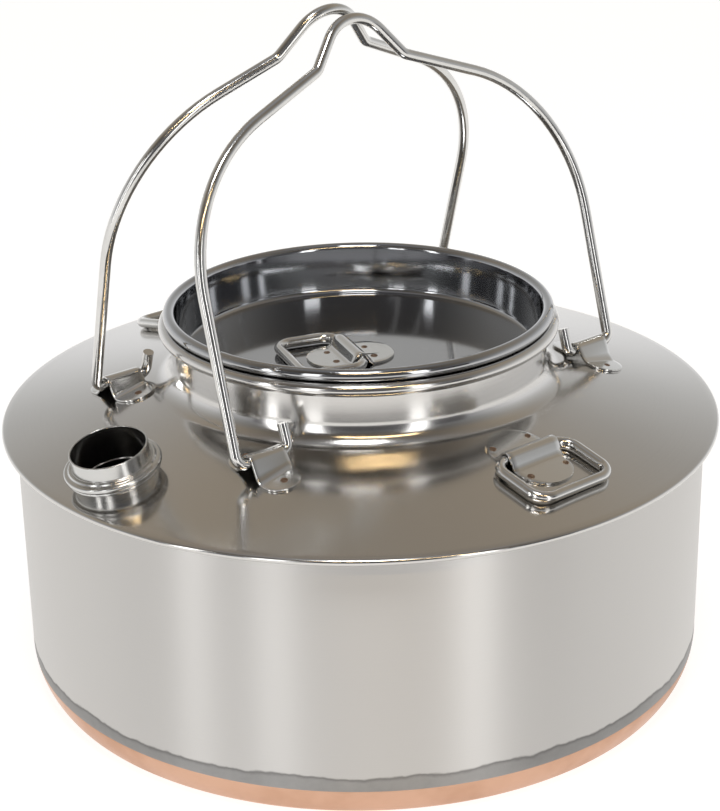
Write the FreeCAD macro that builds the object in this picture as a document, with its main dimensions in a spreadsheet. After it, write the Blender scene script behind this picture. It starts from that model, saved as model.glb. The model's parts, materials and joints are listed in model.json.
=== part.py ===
import FreeCAD, Part
import math
import os
import Sketcher

# Wide camp kettle, in millimetres.  +Z is up, the origin is the middle of the base on
# the table, the spout collar points to -X and both bails turn about lines along X.
# Bodies that move: two bails, two side rings, the lid and the ring on the lid.

# ---------------------------------------------------------------- driving dimensions
# Each row is a name, its value in mm (or degrees) and what it sets.
SIZES = [
    ("wall_radius", 134.6, "outside of the pan's wall"),
    ("pan_sheet", 0.8, "thickness of the pan"),
    ("rim_height", 105.0, "outer edge of the shoulder's top face above the table"),
    ("rim_overhang", 5.4, "rolled rim beyond the wall"),
    ("corner_reach", 7.2, "radial size of the pan's rounded corner"),
    ("corner_rise", 14.9, "height of the pan's rounded corner"),
    ("corner_turn", 55.0, "degrees turned by the tight lower arc of the corner"),
    ("clad_sheet", 0.5, "thickness of the copper under the pan"),
    ("clad_height", 11.7, "top edge of the copper"),
    ("slope", 12.3, "fall of the shoulder in degrees"),
    ("shoulder_sheet", 0.8, "thickness of the shoulder, and of the folded hem"),
    ("neck_radius", 73.0, "outside of the neck"),
    ("neck_cove", 9.0, "radius of the cove between shoulder and neck"),
    ("neck_rise", 35.1, "middle of the neck's rolled bead above the shoulder's outer edge"),
    ("neck_bead", 2.5, "radius of the neck's bead"),
    ("neck_bead_out", 2.2, "middle of the neck's bead beyond the neck"),
    ("lid_sheet", 0.8, "thickness of the lid"),
    ("lid_bead", 2.4, "radius of the lid's bead"),
    ("lid_side_gap", 0.5, "lid's wall to the inside of the neck"),
    ("lid_draft", 1.0, "how much the lid's wall closes in towards its floor"),
    ("lid_depth", 18.3, "lid's floor below the middle of its bead"),
    ("lid_corner", 3.0, "outer radius between the lid's wall and floor"),
    ("running_gap", 0.3, "clearance between pieces that move on each other"),
    ("bail_wire", 2.1, "radius of the bails' wire"),
    ("near_angle", 32.19, "near bail's ends, on their circle round the neck, from the X axis"),
    ("far_angle", 38.74, "far bail's ends, the same"),
    ("stub_circle", 10.9, "bails' turned-up ends beyond the neck"),
    ("stub_height", 10.0, "turned-up end above the pivot line"),
    ("end_gap", 0.3, "strap's edge to the start of the wire's bends"),
    ("stub_bend", 3.0, "bend radius of the turned-up end"),
    ("leg_bend", 4.0, "bend radius under the leg"),
    ("leg_height", 100.7, "near bail's leg and sloping arm meet this far above the pivot line"),
    ("leg_top_bend", 64.0, "radius of the bend between leg and arm"),
    ("hump_half", 21.0, "half width at the foot of the hand hump"),
    ("hump_foot", 128.2, "foot of the near bail's hump above the pivot line"),
    ("hump_rise", 25.5, "foot of the hump to where its sides would meet"),
    ("hump_foot_bend", 6.0, "bend radius at the foot of the hump"),
    ("hump_bend", 16.0, "bend radius at the top of the hump"),
    ("near_rise", 0.0, "near bail's legs are longer by this"),
    ("far_rise", 3.5, "far bail's legs are longer by this"),
    ("near_leg_sway", 5.0, "hand-bent near bail: its legs stand this far to +X"),
    ("near_hump_sway", 0.5, "the same for its hump"),
    ("far_leg_sway", -6.5, "the same for the far bail's legs"),
    ("far_hump_sway", -6.0, "the same for the far bail's hump"),
    ("strap_sheet", 0.9, "thickness of every strap clip"),
    ("ear_width", 15.4, "width of the bails' strap clips"),
    ("ear_reach", 16.0, "tab of a bail's clip, from the pivot line"),
    ("ear_end", 7.4, "corner radius of a bail clip's tab"),
    ("ring_wire", 2.0, "radius of the rings' wire"),
    ("ring_half", 18.0, "half width of a ring, to the middle of its wire"),
    ("ring_length", 24.8, "ring's pivot line to its outer bar"),
    ("ring_bend", 6.5, "bend radius of the rings' corners"),
    ("grip_width", 24.0, "width of the rings' strap clips"),
    ("grip_reach", 17.2, "tab of a ring's clip, from the pivot line"),
    ("grip_end", 11.4, "corner radius of a ring clip's tab"),
    ("side_axis", 41.5, "side rings' pivot line inside the rim"),
    ("side_shift", -4.0, "side rings' middle along X"),
    ("lid_grip_x", -6.5, "middle of the lid's clip along X"),
    ("lid_grip_y", -2.5, "middle of the lid's clip along Y"),
    ("lid_grip_turn", 71.0, "degrees from X to the lid ring's pivot line"),
    ("spout_bore", 13.7, "bore radius of the spout collar"),
    ("spout_sheet", 0.7, "wall of the spout collar"),
    ("spout_edge", 7.0, "sheet left between the spout's hole and the shoulder's outer edge"),
    ("spout_turn", 182.4, "degrees round from X to the spout"),
    ("spout_height", 13.5, "top of the collar above the shoulder"),
    ("spout_lip", 3.5, "how far the collar's lip stands out from its tube"),
    ("spout_seam", 4.4, "lip's lower face above the shoulder"),
    ("spout_lip_rise", 1.5, "thickness of the collar's lip at its edge"),
    ("spout_foot", 0.9, "wall of the ring that lifts the collar"),
    ("spout_tail", 1.6, "collar and its ring reach this far below the shoulder's face"),
    ("weld_radius", 1.4, "radius of a spot weld's button"),
    ("weld_rise", 0.2, "height of a spot weld's button"),
    ("ear_weld", 11.0, "spot weld on a bail's clip, from the pivot line"),
    ("side_weld_across", 8.7, "spot welds on a side ring's clip, from its middle line"),
    ("side_weld_along", 9.7, "the same, from the pivot line"),
    ("lid_weld_across", 5.2, "spot welds on the lid's clip, from its middle line"),
    ("lid_weld_along", 7.8, "the same, from the pivot line"),
]


class Size:
    """A size that knows its number and the spreadsheet expression that gives it."""

    def __init__(self, number, text):
        self.number = number
        self.text = text

    def __add__(self, other):
        other = as_size(other)
        return Size(self.number + other.number, f"({self.text} + {other.text})")

    def __sub__(self, other):
        other = as_size(other)
        return Size(self.number - other.number, f"({self.text} - {other.text})")

    def __mul__(self, other):
        other = as_size(other)
        return Size(self.number * other.number, f"({self.text} * {other.text})")

    def __truediv__(self, other):
        other = as_size(other)
        return Size(self.number / other.number, f"({self.text} / {other.text})")

    def __radd__(self, other):
        return as_size(other) + self

    def __rsub__(self, other):
        return as_size(other) - self

    def __rmul__(self, other):
        return as_size(other) * self

    def __neg__(self):
        return Size(-self.number, f"(-1 * {self.text})")


def as_size(value):
    return value if isinstance(value, Size) else Size(float(value), f"{float(value):.6g}")


def sine(angle):
    angle = as_size(angle)
    return Size(math.sin(math.radians(angle.number)), f"sin({angle.text} * 1 deg)")


def cosine(angle):
    angle = as_size(angle)
    return Size(math.cos(math.radians(angle.number)), f"cos({angle.text} * 1 deg)")


def tangent(angle):
    angle = as_size(angle)
    return Size(math.tan(math.radians(angle.number)), f"tan({angle.text} * 1 deg)")


def root(value):
    return Size(math.sqrt(value.number), f"sqrt({value.text})")


def length_of(across, along):
    """Length of a vector with these two parts."""
    return root(across * across + along * along)


doc = FreeCAD.newDocument("CampKettle")
sheet = doc.addObject("Spreadsheet::Sheet", "Sizes")
size = {}
for row, (name, number, note) in enumerate(SIZES, start=1):
    sheet.set(f"A{row}", name)
    sheet.set(f"B{row}", str(number))
    sheet.set(f"C{row}", note)
    sheet.setAlias(f"B{row}", name)
    size[name] = Size(number, f"Sizes.{name}")
doc.recompute()
nodes = {}


# ------------------------------------------------------------------ drawing helpers
def bind(thing, **settings):
    """Bind properties of an object to sizes."""
    for prop, value in settings.items():
        thing.setExpression(prop, as_size(value).text)


def place(thing, x=0, y=0, z=0, axis=(0, 0, 1), angle=0):
    """Bind an object's Placement: where it is, and its turn in degrees about an axis."""
    spot = ";".join(as_size(value).text for value in (x, y, z))
    turn = ";".join(as_size(value).text for value in axis)
    angle = as_size(angle)
    thing.setExpression("Placement", f"placement(vector({spot});rotation(vector({turn});{angle.text}))")


def plane_of(body, role):
    for feature in body.Origin.OriginFeatures:
        if feature.Role == role:
            return feature
    raise RuntimeError(f"{body.Label} has no {role}")


def new_sketch(body, role, name, offset=None):
    sketch = body.newObject("Sketcher::SketchObject", name)
    sketch.AttachmentSupport = [(plane_of(body, role), "")]
    sketch.MapMode = "FlatFace"
    if offset is not None:
        sketch.setExpression("AttachmentOffset.Base.z", offset.text)
    return sketch


def hold(sketch, kind, geometry, point, value):
    """Fix one coordinate of a sketch point; a zero puts it on the sketch's axis."""
    value = as_size(value)
    if value.number == 0:
        axis = -2 if kind == "DistanceX" else -1
        sketch.addConstraint(Sketcher.Constraint("PointOnObject", geometry, point, axis))
        return
    rule = sketch.addConstraint(Sketcher.Constraint(kind, -1, 1, geometry, point, value.number))
    sketch.setExpression(f"Constraints[{rule}]", value.text)


def hold_point(sketch, geometry, point, spot):
    hold(sketch, "DistanceX", geometry, point, spot[0])
    hold(sketch, "DistanceY", geometry, point, spot[1])


def hold_radius(sketch, geometry, radius):
    radius = as_size(radius)
    rule = sketch.addConstraint(Sketcher.Constraint("Radius", geometry, radius.number))
    sketch.setExpression(f"Constraints[{rule}]", radius.text)


def vector(spot):
    return FreeCAD.Vector(as_size(spot[0]).number, as_size(spot[1]).number, 0)


def arc_between(start, end, radius, turn):
    """Short arc from start to end; turn is 1 for anticlockwise, -1 for clockwise."""
    start, end = vector(start), vector(end)
    chord = end - start
    left = FreeCAD.Vector(-chord.y, chord.x, 0).normalize() * turn
    radius = as_size(radius).number
    depth = math.sqrt(max(radius ** 2 - chord.Length ** 2 / 4, 0))
    middle = (start + end) * 0.5 + left * (depth - radius)
    return Part.Arc(start, middle, end)


def draw_outline(sketch, steps):
    """Draw a closed outline: each step is a corner, then None for a straight edge to the
    next corner or (radius, turn) for an arc to it."""
    edges = []
    for index, (corner, bend) in enumerate(steps):
        following = steps[(index + 1) % len(steps)][0]
        if bend is None:
            edges.append(Part.LineSegment(vector(corner), vector(following)))
        else:
            edges.append(arc_between(corner, following, *bend))
    sketch.addGeometry(edges, False)
    for index, (corner, bend) in enumerate(steps):
        clockwise = bend is not None and bend[1] < 0
        before = (index - 1) % len(steps)
        before_bend = steps[before][1]
        before_clockwise = before_bend is not None and before_bend[1] < 0
        start = 2 if clockwise else 1
        end = 1 if before_clockwise else 2
        sketch.addConstraint(Sketcher.Constraint("Coincident", before, end, index, start))
        hold_point(sketch, index, start, corner)
        if bend is not None:
            hold_radius(sketch, index, bend[0])


def draw_circle(sketch, middle, radius):
    circle = Part.Circle(vector(middle), FreeCAD.Vector(0, 0, 1), as_size(radius).number)
    sketch.addGeometry(circle, False)
    hold_point(sketch, 0, 3, middle)
    hold_radius(sketch, 0, radius)


def draw_wire_path(sketch, start, corners, end):
    """Draw bent wire: straight runs that meet at corners, each corner with its radius."""
    spots = [start] + [spot for spot, radius in corners] + [end]
    points = [vector(spot) for spot in spots]
    reach = [0.0]
    for index, (spot, radius) in enumerate(corners, start=1):
        into = (points[index] - points[index - 1]).normalize()
        out = (points[index + 1] - points[index]).normalize()
        reach.append(as_size(radius).number * math.tan(into.getAngle(out) / 2))
    reach.append(0.0)
    runs = []
    for index in range(len(points) - 1):
        along = (points[index + 1] - points[index]).normalize()
        first = points[index] + along * reach[index]
        last = points[index + 1] - along * reach[index + 1]
        runs.append((first, last, along))
        sketch.addGeometry(Part.LineSegment(first, last), False)
    for index, (spot, radius) in enumerate(corners, start=1):
        into, out = runs[index - 1], runs[index]
        turn = 1 if into[2].cross(out[2]).z > 0 else -1
        bend = sketch.addGeometry(arc_between(into[1], out[0], radius, turn), False)
        first, last = (1, 2) if turn > 0 else (2, 1)
        sketch.addConstraint(Sketcher.Constraint("Tangent", index - 1, 2, bend, first))
        sketch.addConstraint(Sketcher.Constraint("Tangent", index, 1, bend, last))
        hold_radius(sketch, bend, radius)
        mark = sketch.addGeometry(Part.Point(points[index]), True)
        sketch.addConstraint(Sketcher.Constraint("PointOnObject", mark, 1, index - 1))
        sketch.addConstraint(Sketcher.Constraint("PointOnObject", mark, 1, index))
        hold_point(sketch, mark, 1, spot)
    hold_point(sketch, 0, 1, start)
    hold_point(sketch, len(runs) - 1, 2, end)


# ------------------------------------------------------------------ feature helpers
def new_body(label):
    body = doc.addObject("PartDesign::Body", label)
    body.Label = label
    return body


def revolve(body, draw, *drawing):
    """Turn a sketch of the XZ plane once round Z."""
    sketch = new_sketch(body, "XZ_Plane", body.Name + "_outline")
    draw(sketch, *drawing)
    turned = body.newObject("PartDesign::Revolution", body.Name + "_turned")
    turned.Profile = sketch
    turned.ReferenceAxis = (sketch, ["V_Axis"])
    turned.Angle = 360
    doc.recompute()
    return turned


def pad(body, role, height, steps):
    """Raise an outline by half of the height on each side of its plane."""
    sketch = new_sketch(body, role, body.Name + "_outline")
    draw_outline(sketch, steps)
    raised = body.newObject("PartDesign::Pad", body.Name + "_pad")
    raised.Profile = sketch
    raised.Midplane = True
    raised.setExpression("Length", as_size(height).text)
    doc.recompute()
    return raised


def bend_wire(label, path_plane, path, ring_plane, ring_middle, wire, offset=None):
    """Sweep round wire along a path drawn in one of the body's planes."""
    body = new_body(label)
    spine = new_sketch(body, path_plane, label + "_path")
    draw_wire_path(spine, *path)
    section = new_sketch(body, ring_plane, label + "_section", offset)
    draw_circle(section, ring_middle, wire)
    swept = body.newObject("PartDesign::AdditivePipe", label + "_wire")
    swept.Profile = section
    swept.Spine = (spine, [])
    doc.recompute()
    return body


def join(kind, label, first, second):
    """A Part boolean of two objects; kind is Cut, Fuse or Common."""
    result = doc.addObject("Part::" + kind, label)
    result.Base = first
    result.Tool = second
    result.Label = label
    return result


def keep(node, thing):
    thing.Label = node
    nodes[node] = thing
    return thing


# ------------------------------------------------------------ the shoulder's geometry
slope = size["slope"]
rim_radius = size["wall_radius"] + size["rim_overhang"]
neck_top = size["rim_height"] + size["neck_rise"]
tube_radius = size["spout_bore"] + size["spout_sheet"]
lip_radius = tube_radius + size["spout_lip"]
neck_bead_radius = size["neck_radius"] + size["neck_bead_out"]


def shoulder_height(radius):
    """Height of the shoulder's top face at a radius."""
    return size["rim_height"] + (rim_radius - radius) * tangent(slope)


def under_shoulder(radius, depth):
    """Point square below the shoulder's top face, in the kettle's half section."""
    return (radius - depth * sine(slope), shoulder_height(radius) - depth * cosine(slope))


def cone_block(label, lift):
    """Everything under the shoulder's cone, raised straight up by lift."""
    outer, inner = rim_radius + lip_radius, size["neck_radius"] / 2
    block = doc.addObject("Part::Cone", label)
    bind(block, Radius1=outer, Radius2=inner, Height=(outer - inner) * tangent(slope))
    place(block, z=shoulder_height(outer) + lift)
    return block


# ---------------------------------------------------------------------------- pan
def corner_radii():
    """Radii of the two tangent arcs that round the pan's corner."""
    turn = size["corner_turn"]
    reach, rise = size["corner_reach"], size["corner_rise"]
    across, along = sine(turn), cosine(turn)
    share = across * along - (1 - across) * (1 - along)
    tight = (reach * along - rise * (1 - across)) / share
    easy = (rise * across - reach * (1 - along)) / share
    return tight, easy


def corner_points(inset):
    """Foot, turning point and top of the corner, for a face inside the outer one."""
    turn = size["corner_turn"]
    tight, easy = corner_radii()
    foot = (size["wall_radius"] - size["corner_reach"], inset)
    middle = (foot[0] + (tight - inset) * sine(turn), tight - (tight - inset) * cosine(turn))
    top = (size["wall_radius"] - inset, size["corner_rise"])
    return foot, middle, top


def clad_edge(inset):
    """Where the copper's top edge crosses a face inside the corner's outer face."""
    easy = corner_radii()[1]
    along = (size["corner_rise"] - size["clad_height"]) / easy
    across = root(1 - along * along)
    reach = easy - inset
    return (size["wall_radius"] - easy + reach * across, size["corner_rise"] - reach * along)


def make_pan():
    """Deep-drawn pan: its corner is thinned by the copper, its flange fills the hem."""
    tight, easy = corner_radii()
    clad, pan = size["clad_sheet"], size["pan_sheet"]
    inner = clad + pan
    foot, middle, top = corner_points(clad)
    foot_in, middle_in, top_in = corner_points(inner)
    wall = size["wall_radius"]
    fold = size["shoulder_sheet"] * 1.5
    flange_end = rim_radius - fold + fold * sine(slope)
    under = under_shoulder(flange_end, 2 * size["shoulder_sheet"])
    over = under_shoulder(flange_end, size["shoulder_sheet"])
    flange_under = (wall, under[1] + (under[0] - wall) * tangent(slope))
    flange_over = (wall - pan, over[1] + (over[0] - wall + pan) * tangent(slope))
    steps = [
        ((0, clad), None),
        (foot, (tight - clad, 1)),
        (middle, (easy - clad, 1)),
        (clad_edge(clad), None),
        (clad_edge(0), (easy, 1)),
        ((wall, size["corner_rise"]), None),
        (flange_under, None),
        (under, None),
        (over, None),
        (flange_over, None),
        ((wall - pan, size["corner_rise"]), (easy - pan, -1)),
        (clad_edge(pan), None),
        (clad_edge(inner), (easy - inner, -1)),
        (middle_in, (tight - inner, -1)),
        (foot_in, None),
        ((0, inner), None),
    ]
    body = new_body("body_pan")
    revolve(body, draw_outline, steps)
    keep("body_pan", body)


def make_copper():
    """Copper that wraps the flat base and the corner, flush with the wall above."""
    tight, easy = corner_radii()
    clad = size["clad_sheet"]
    foot, middle, top = corner_points(clad)
    foot_out, middle_out, top_out = corner_points(as_size(0))
    steps = [
        ((0, 0), None),
        (foot_out, (tight, 1)),
        (middle_out, (easy, 1)),
        (clad_edge(0), None),
        (clad_edge(clad), (easy - clad, -1)),
        (middle, (tight - clad, -1)),
        (foot, None),
        ((0, clad), None),
    ]
    body = new_body("copper_base")
    revolve(body, draw_outline, steps)
    keep("copper_base", body)


# ----------------------------------------------------------------------- shoulder
def make_shoulder():
    """Conical shoulder: hem folded round the pan's flange, drawn neck and rolled bead."""
    sheet_size = size["shoulder_sheet"]
    fold = sheet_size * 1.5
    hem_radius = rim_radius - fold + fold * sine(slope)
    hem_side = (rim_radius, shoulder_height(hem_radius) - fold * cosine(slope))
    hem_side_in = (rim_radius - sheet_size, hem_side[1])
    lip = 3 * sheet_size
    lip_in = 2 * sheet_size
    wall = size["wall_radius"]
    under_end, under_start = under_shoulder(hem_radius, lip), under_shoulder(hem_radius, lip_in)
    cove = size["neck_cove"]
    cove_reach = cove * tangent(45 - slope / 2)
    cove_foot = size["neck_radius"] + cove_reach * cosine(slope)
    cove_top = shoulder_height(size["neck_radius"]) + cove_reach
    foot, foot_in = under_shoulder(cove_foot, 0), under_shoulder(cove_foot, sheet_size)
    steps = [
        ((wall, under_end[1] + (under_end[0] - wall) * tangent(slope)), None),
        (under_end, (fold, 1)),
        (hem_side, (fold, 1)),
        (under_shoulder(hem_radius, 0), None),
        (foot, (cove, -1)),
        ((size["neck_radius"], cove_top), None),
        ((size["neck_radius"], neck_top), None),
        ((size["neck_radius"] - sheet_size, neck_top), None),
        ((size["neck_radius"] - sheet_size, cove_top), (cove + sheet_size, 1)),
        (foot_in, None),
        (under_shoulder(hem_radius, sheet_size), (fold - sheet_size, -1)),
        (hem_side_in, (fold - sheet_size, -1)),
        (under_start, None),
        ((wall, under_start[1] + (under_start[0] - wall) * tangent(slope)), None),
    ]
    body = new_body("shoulder_sheet")
    revolve(body, draw_outline, steps)
    bead = doc.addObject("Part::Torus", "neck_bead")
    bind(bead, Radius1=neck_bead_radius, Radius2=size["neck_bead"])
    place(bead, z=neck_top)
    hole = doc.addObject("Part::Cylinder", "spout_hole")
    bind(hole, Radius=tube_radius, Height=4 * size["spout_tail"])
    on_spout(hole, -2 * size["spout_tail"])
    beaded = join("Fuse", "beaded_shoulder", body, bead)
    keep("shoulder", join("Cut", "shoulder", beaded, hole))


# -------------------------------------------------------------------------- spout
def on_spout(thing, rise):
    """Stand an object on the spout's axis, square to the shoulder."""
    station = rim_radius - size["spout_edge"] - tube_radius
    across, round_x = sine(size["spout_turn"]), cosine(size["spout_turn"])
    reach = station + rise * sine(slope)
    height = shoulder_height(station) + rise * cosine(slope)
    place(thing, reach * round_x, reach * across, height, (-across, round_x, 0), slope)


def make_spout():
    """Collar for a plug-in spout, on a low ring that lifts it off the shoulder."""
    bore, tube, lip = size["spout_bore"], tube_radius, lip_radius
    seam, foot = size["spout_seam"], tube + size["spout_foot"]
    rise, tail = size["spout_lip_rise"], size["spout_tail"]
    half = rise / 2
    collar = new_body("spout_tube")
    revolve(collar, draw_outline, [
        ((bore, -tail), None),
        ((tube, -tail), None),
        ((tube, seam), None),
        ((lip - half, seam), (half, 1)),
        ((lip, seam + half), (half, 1)),
        ((lip - half, seam + rise), None),
        ((tube, seam + 2 * half), None),
        ((tube, size["spout_height"]), None),
        ((bore, size["spout_height"]), None),
    ])
    on_spout(collar, as_size(0))
    keep("spout_collar", collar)
    edge = size["spout_sheet"]
    ring = new_body("spout_lift")
    revolve(ring, draw_outline, [
        ((tube, -tail), None),
        ((foot, -tail), None),
        ((foot, seam - edge), None),
        ((lip - edge, seam - edge), None),
        ((lip - edge, seam), None),
        ((tube, seam), None),
    ])
    on_spout(ring, as_size(0))
    keep("spout_base_ring", join("Cut", "spout_base_ring", ring, cone_block("spout_seat", as_size(0))))


# ---------------------------------------------------------------------------- lid
lid_radius = size["neck_radius"] - size["shoulder_sheet"] - size["lid_side_gap"]
lid_bead_radius = lid_radius - size["lid_sheet"] + size["lid_bead"]
bead_step = neck_bead_radius - lid_bead_radius
bead_spacing = size["neck_bead"] + size["lid_bead"] + size["running_gap"]
lid_bead_lift = root(bead_spacing * bead_spacing - bead_step * bead_step)
lid_bead_height = neck_top + lid_bead_lift
lid_floor = lid_bead_height - size["lid_depth"]


def make_lid():
    """Dished lid: flat floor, deep wall inside the neck and a bead that rests on its bead."""
    lid_sheet, corner = size["lid_sheet"], size["lid_corner"]
    low_radius = lid_radius - size["lid_draft"]
    floor_under = lid_floor - lid_sheet
    steps = [
        ((0, floor_under), None),
        ((low_radius - corner, floor_under), (corner, 1)),
        ((low_radius, floor_under + corner), None),
        ((lid_radius, lid_bead_height), None),
        ((lid_radius - lid_sheet, lid_bead_height), None),
        ((low_radius - lid_sheet, floor_under + corner), (corner - lid_sheet, -1)),
        ((low_radius - corner, lid_floor), None),
        ((0, lid_floor), None),
    ]
    body = new_body("lid_sheet_metal")
    revolve(body, draw_outline, steps)
    bead = doc.addObject("Part::Torus", "lid_bead")
    bind(bead, Radius1=lid_bead_radius, Radius2=size["lid_bead"])
    place(bead, z=lid_bead_height)
    keep("lid_pan", join("Fuse", "lid_pan", body, bead))


# -------------------------------------------------------------------- strap clips

def floor_block(label, lift):
    """Everything under the lid's floor, raised by lift."""
    block = doc.addObject("Part::Cylinder", label)
    bind(block, Radius=size["neck_radius"], Height=size["lid_depth"])
    place(block, z=lid_floor + lift - size["lid_depth"])
    return block


class Seat:
    """A face that strap clips are welded to, and a layer of strap lying on it."""

    def __init__(self, label, block, lift):
        self.under = block(label + "_under", as_size(0))
        over = block(label + "_over", lift)
        self.label = label
        self.over = over

    def layer(self, label):
        return join("Cut", label, self.over, self.under)


def arch_outline(radius, leg):
    """Half round over straight legs, seen along the wire."""
    return [
        ((-radius, -leg), None),
        ((radius, -leg), None),
        ((radius, 0), (radius, 1)),
        ((0, radius), (radius, 1)),
        ((-radius, 0), None),
    ]


def plate_outline(half, reach, corner):
    """Rectangle with rounded corners, seen from above."""
    flat, straight = half - corner, reach - corner
    return [
        ((-flat, -reach), None),
        ((flat, -reach), (corner, 1)),
        ((half, -straight), None),
        ((half, straight), (corner, 1)),
        ((flat, reach), None),
        ((-flat, reach), (corner, 1)),
        ((-half, straight), None),
        ((-half, -straight), (corner, 1)),
    ]


def make_clip(node, seat, kind, wire, x, y, z, turn=0):
    """Strap folded over a wire, with a rounded tab on each side welded to its seat."""
    width, reach, corner = size[kind + "_width"], size[kind + "_reach"], size[kind + "_end"]
    inside = wire + size["running_gap"]
    leg = 3 * wire
    arch, channel, plate = (new_body(node + part) for part in ("_arch", "_channel", "_plate"))
    pad(arch, "YZ_Plane", width, arch_outline(inside + size["strap_sheet"], leg))
    pad(channel, "YZ_Plane", 2 * width, arch_outline(inside, 2 * leg))
    pad(plate, "XY_Plane", 4 * leg, plate_outline(width / 2, reach, corner))
    for part in (arch, channel, plate):
        place(part, x, y, z, angle=turn)
    standing = join("Cut", node + "_standing", arch, seat.under)
    lying = join("Common", node + "_lying", plate, seat.layer(node + "_layer"))
    strap = join("Fuse", node + "_strap", standing, lying)
    keep(node, join("Cut", node, strap, channel))


# -------------------------------------------------------------------- bails, rings
bail_radius = size["neck_radius"] + size["stub_circle"]
bail_height = shoulder_height(bail_radius) + size["bail_wire"] + size["running_gap"]


def bail_axis(name):
    """Distance of a bail's pivot line from the middle."""
    return bail_radius * sine(size[name + "_angle"])


def bail_ends(name):
    """Distances from the bail's middle to its turned-up end, clip and leg."""
    axis = bail_axis(name)
    stub = root(bail_radius * bail_radius - axis * axis)
    half = size["ear_width"] / 2
    clip = stub + size["stub_bend"] + size["end_gap"] + half
    leg = clip + half + size["end_gap"] + size["leg_bend"]
    return stub, clip, leg


def bail_lean(name):
    """Degrees that a bail leans in until its hump meets the other one's."""
    side = length_of(size["hump_half"], size["hump_rise"])
    peak = size["hump_foot"] + size["hump_rise"] + size[name + "_rise"]
    top = peak - size["hump_bend"] * (side / size["hump_half"] - 1)
    reach = (bail_axis("near") + bail_axis("far") - size["running_gap"]) / 2 - size["bail_wire"]
    share = reach / top
    return Size(math.degrees(math.asin(share.number)), f"(asin({share.text}) / 1 deg)")


def make_bail(name, side):
    """Wire bail: turned-up ends, a straight run in each clip, two legs and a hand hump."""
    stub, clip, leg = bail_ends(name)
    lift = size[name + "_rise"]
    legs, hump = size[name + "_leg_sway"], size[name + "_hump_sway"]
    half_path = [
        (stub, 0, 0, size["stub_bend"]),
        (leg, 0, 0, size["leg_bend"]),
        (leg, legs, size["leg_height"] + lift, size["leg_top_bend"]),
        (size["hump_half"], hump, size["hump_foot"] + lift, size["hump_foot_bend"]),
    ]
    right = [((across + sway, up), bend) for across, sway, up, bend in half_path]
    left = [((sway - across, up), bend) for across, sway, up, bend in reversed(half_path)]
    top = ((hump, size["hump_foot"] + size["hump_rise"] + lift), size["hump_bend"])
    start, end = (stub, size["stub_height"]), (-stub, size["stub_height"])
    path = (start, right + [top] + left, end)
    bail = bend_wire(f"bail_{name}", "XZ_Plane", path, "XY_Plane", (stub, 0), size["bail_wire"],
                     offset=size["stub_height"])
    place(bail, y=side * bail_axis(name), z=bail_height, axis=(1, 0, 0),
          angle=side * bail_lean(name))
    keep(f"bail_{name}", bail)


def make_ring(node, x, y, z, turn, fall):
    """Closed wire ring with one straight bar through its clip."""
    half, length = size["ring_half"], size["ring_length"]
    corners = [((half, 0), size["ring_bend"]), ((half, -length), size["ring_bend"]),
               ((-half, -length), size["ring_bend"]), ((-half, 0), size["ring_bend"])]
    ring = bend_wire(node, "XY_Plane", ((0, 0), corners, (0, 0)), "YZ_Plane", (0, 0),
                     size["ring_wire"])
    spot = ";".join(as_size(value).text for value in (x, y, z))
    spin = f"rotation(vector(0;0;1);{as_size(turn).text})"
    tip = f"rotation(vector(1;0;0);{as_size(fall).text})"
    ring.setExpression("Placement", f"placement(vector({spot});{spin} * {tip})")
    keep(node, ring)


# -------------------------------------------------------------------------- welds
def weld_on_shoulder(label, x, y):
    """Flat weld button on a strap that lies on the shoulder."""
    out = length_of(as_size(x), as_size(y))
    button = doc.addObject("Part::Cylinder", label)
    bind(button, Radius=size["weld_radius"], Height=size["weld_rise"])
    height = shoulder_height(out) + size["strap_sheet"] / cosine(slope)
    place(button, x, y, height, (-y / out, x / out, 0), slope)
    return button


def weld_on_lid(label, x, y):
    button = doc.addObject("Part::Cylinder", label)
    bind(button, Radius=size["weld_radius"], Height=size["weld_rise"])
    place(button, x, y, lid_floor + size["strap_sheet"])
    return button


def keep_group(node, members):
    group = doc.addObject("Part::Compound", node)
    group.Links = members
    keep(node, group)


# ----------------------------------------------------------------------- assembly
make_pan()
make_copper()
make_shoulder()
make_spout()
make_lid()

strap = size["strap_sheet"]
on_cone = Seat("cone_seat", cone_block, strap / cosine(slope))
on_lid = Seat("lid_seat", floor_block, strap)

ear_welds = []
for name, side in (("near", -1), ("far", 1)):
    clip = bail_ends(name)[1]
    for hand, way in (("left", -1), ("right", 1)):
        x, y = way * clip, side * bail_axis(name)
        make_clip(f"bail_ear_{name}_{hand}", on_cone, "ear", size["bail_wire"], x, y, bail_height)
        for along in (-1, 1):
            label = f"ear_weld_{len(ear_welds)}"
            ear_welds.append(weld_on_shoulder(label, x, y + along * size["ear_weld"]))
    make_bail(name, side)
keep_group("ear_spot_welds", ear_welds)

ring_lift = size["ring_wire"] + size["running_gap"]
side_y = rim_radius - size["side_axis"]
side_height = shoulder_height(side_y) + ring_lift
side_welds = []
for name, side, turn in (("near", -1, 0), ("far", 1, 180)):
    x, y = size["side_shift"], side * side_y
    make_clip(f"side_clip_{name}", on_cone, "grip", size["ring_wire"], x, y, side_height)
    make_ring(f"side_ring_{name}", x, y, side_height, turn, slope)
    for across in (-1, 1):
        for along in (-1, 1):
            weld_x = x + across * size["side_weld_across"]
            weld_y = y + along * size["side_weld_along"]
            side_welds.append(weld_on_shoulder(f"side_weld_{len(side_welds)}", weld_x, weld_y))
keep_group("side_clip_spot_welds", side_welds)

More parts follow.
